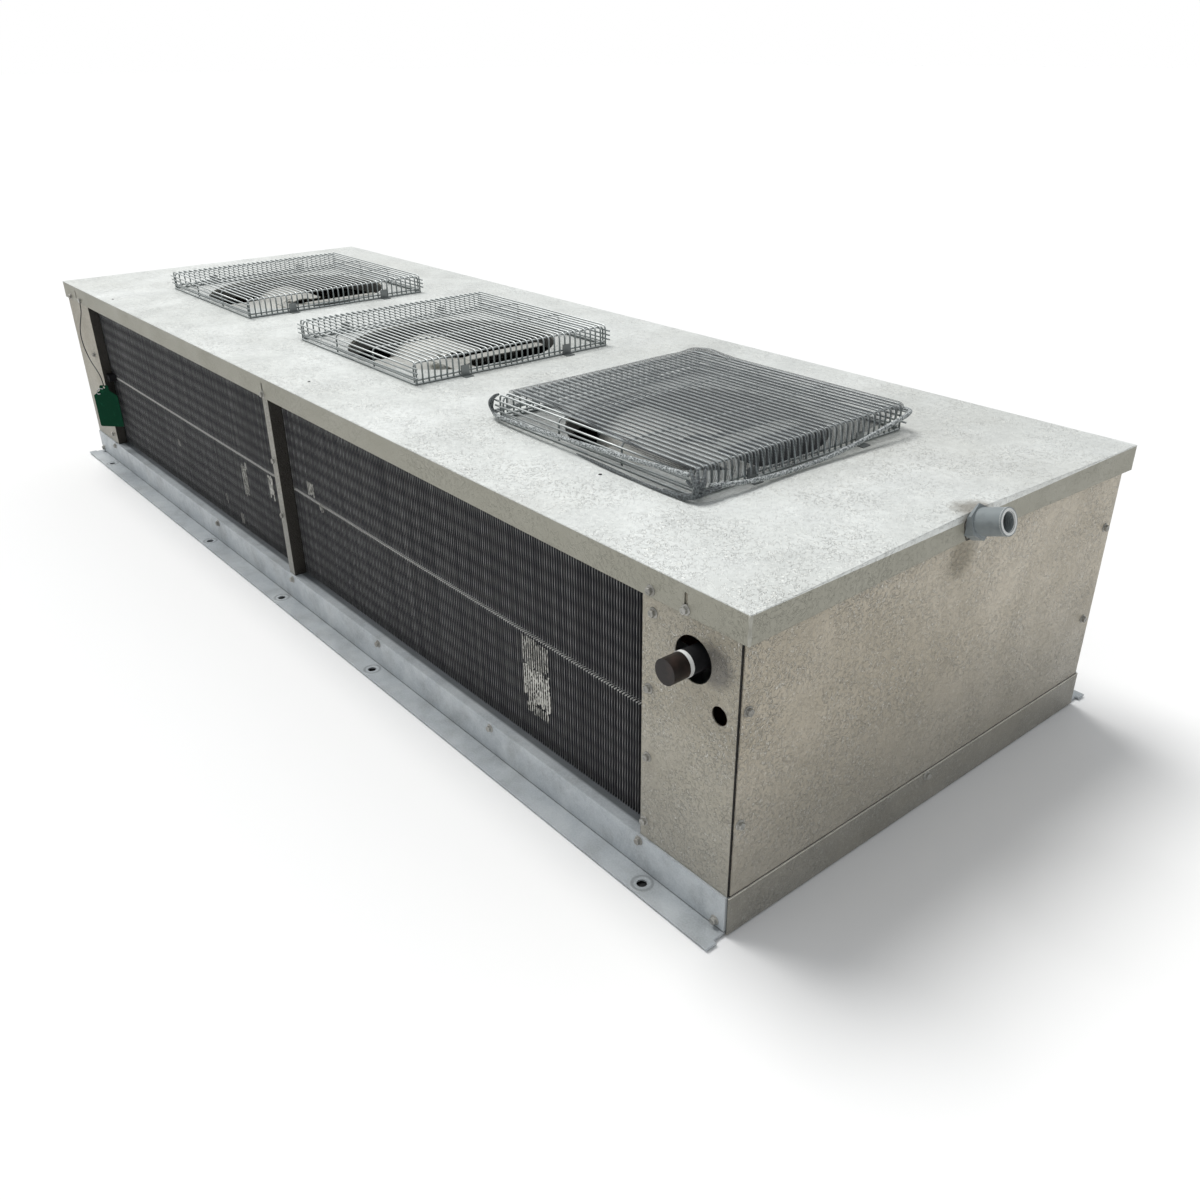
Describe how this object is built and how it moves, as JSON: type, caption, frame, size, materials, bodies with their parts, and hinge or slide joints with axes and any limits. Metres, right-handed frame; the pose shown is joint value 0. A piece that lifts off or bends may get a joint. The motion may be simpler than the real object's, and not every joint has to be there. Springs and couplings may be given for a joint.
{
  "type": "walk-in unit cooler",
  "caption": "Low walk-in unit cooler with a coil along each long side, fans under wire guards in its drain pan, and hanging rails; shown ceiling side down.",
  "frame": {"origin": "middle of the mounting plane, between the outer hanger holes of both rails", "axes": "+X along the cabinet towards the drain end, -Y towards the side with the suction connection, +Z from the mounting plane to the fan side"},
  "size_m": [2.246, 0.82, 0.4514],
  "materials": {
    "stucco_aluminium": "embossed, satin",
    "galvanised_steel": "galvanised, spangled",
    "fin_aluminium": "dark fins seen edge on",
    "copper": "dull copper pipe",
    "black_foam": "matt closed-cell foam",
    "cap_plastic": "dark brown plastic",
    "band_white": "white band",
    "grey_plastic": "light grey, slightly glossy",
    "blade_aluminium": "bare sheet",
    "motor_black": "satin black",
    "shaft_steel": "ground",
    "zinc_wire": "zinc plated wire",
    "net_fabric": "fine dark net",
    "hem_rope": "braided elastic",
    "screw_zinc": "zinc plated",
    "cord_dark": "thin dark cord",
    "tag_green": "dark green card"
  },
  "bodies": {
    "cabinet": {"coil_guide_back": "galvanised_steel", "coil_guide_front": "galvanised_steel", "cover_plate_back_left": "stucco_aluminium", "cover_plate_back_right": "stucco_aluminium", "cover_plate_front_left": "stucco_aluminium", "cover_plate_front_right": "stucco_aluminium", "deck": "galvanised_steel", "divider_back": "stucco_aluminium", "divider_front": "stucco_aluminium", "drain_fitting": "grey_plastic", "drain_nut": "grey_plastic", "drain_pan": "stucco_aluminium", "end_channel_left": "stucco_aluminium", "end_channel_right": "stucco_aluminium", "end_panel_left": "stucco_aluminium", "end_panel_right": "stucco_aluminium", "fin_pack_back_lower": "fin_aluminium", "fin_pack_back_upper": "fin_aluminium", "fin_pack_front_lower": "fin_aluminium", "fin_pack_front_upper": "fin_aluminium", "guard_1": "zinc_wire", "guard_2": "zinc_wire", "guard_3": "zinc_wire", "guard_clips": "galvanised_steel", "motor_1": "motor_black", "motor_2": "motor_black", "motor_3": "motor_black", "motor_bracket_1": "galvanised_steel", "motor_bracket_2": "galvanised_steel", "motor_bracket_3": "galvanised_steel", "mounting_rail_back": "galvanised_steel", "mounting_rail_front": "galvanised_steel", "net_cover": "net_fabric", "net_gather": "net_fabric", "net_hem": "hem_rope", "seam_foam": "black_foam", "service_tag": "tag_green", "stub_band": "band_white", "stub_cap": "cap_plastic", "stub_sleeve": "black_foam", "suction_header": "copper", "tag_cord": "cord_dark", "tag_screw": "screw_zinc", "tube_sheet_back_left": "galvanised_steel", "tube_sheet_back_right": "galvanised_steel", "tube_sheet_front_left": "galvanised_steel", "tube_sheet_front_right": "galvanised_steel"},
    "rotor_1": {"fan_1": "blade_aluminium", "motor_shaft_1": "shaft_steel"},
    "rotor_2": {"fan_2": "blade_aluminium", "motor_shaft_2": "shaft_steel"},
    "rotor_3": {"fan_3": "blade_aluminium", "motor_shaft_3": "shaft_steel"}
  },
  "joints": [
    {"name": "fan_1_spin", "type": "hinge", "parent": "cabinet", "child": "rotor_1", "pos_m": [-0.63, -0.01, 0.36], "axis": [0, 0, 1], "continuous": true},
    {"name": "fan_2_spin", "type": "hinge", "parent": "cabinet", "child": "rotor_2", "pos_m": [0.01, -0.01, 0.36], "axis": [0, 0, 1], "continuous": true},
    {"name": "fan_3_spin", "type": "hinge", "parent": "cabinet", "child": "rotor_3", "pos_m": [0.65, -0.01, 0.36], "axis": [0, 0, 1], "continuous": true}
  ]
}
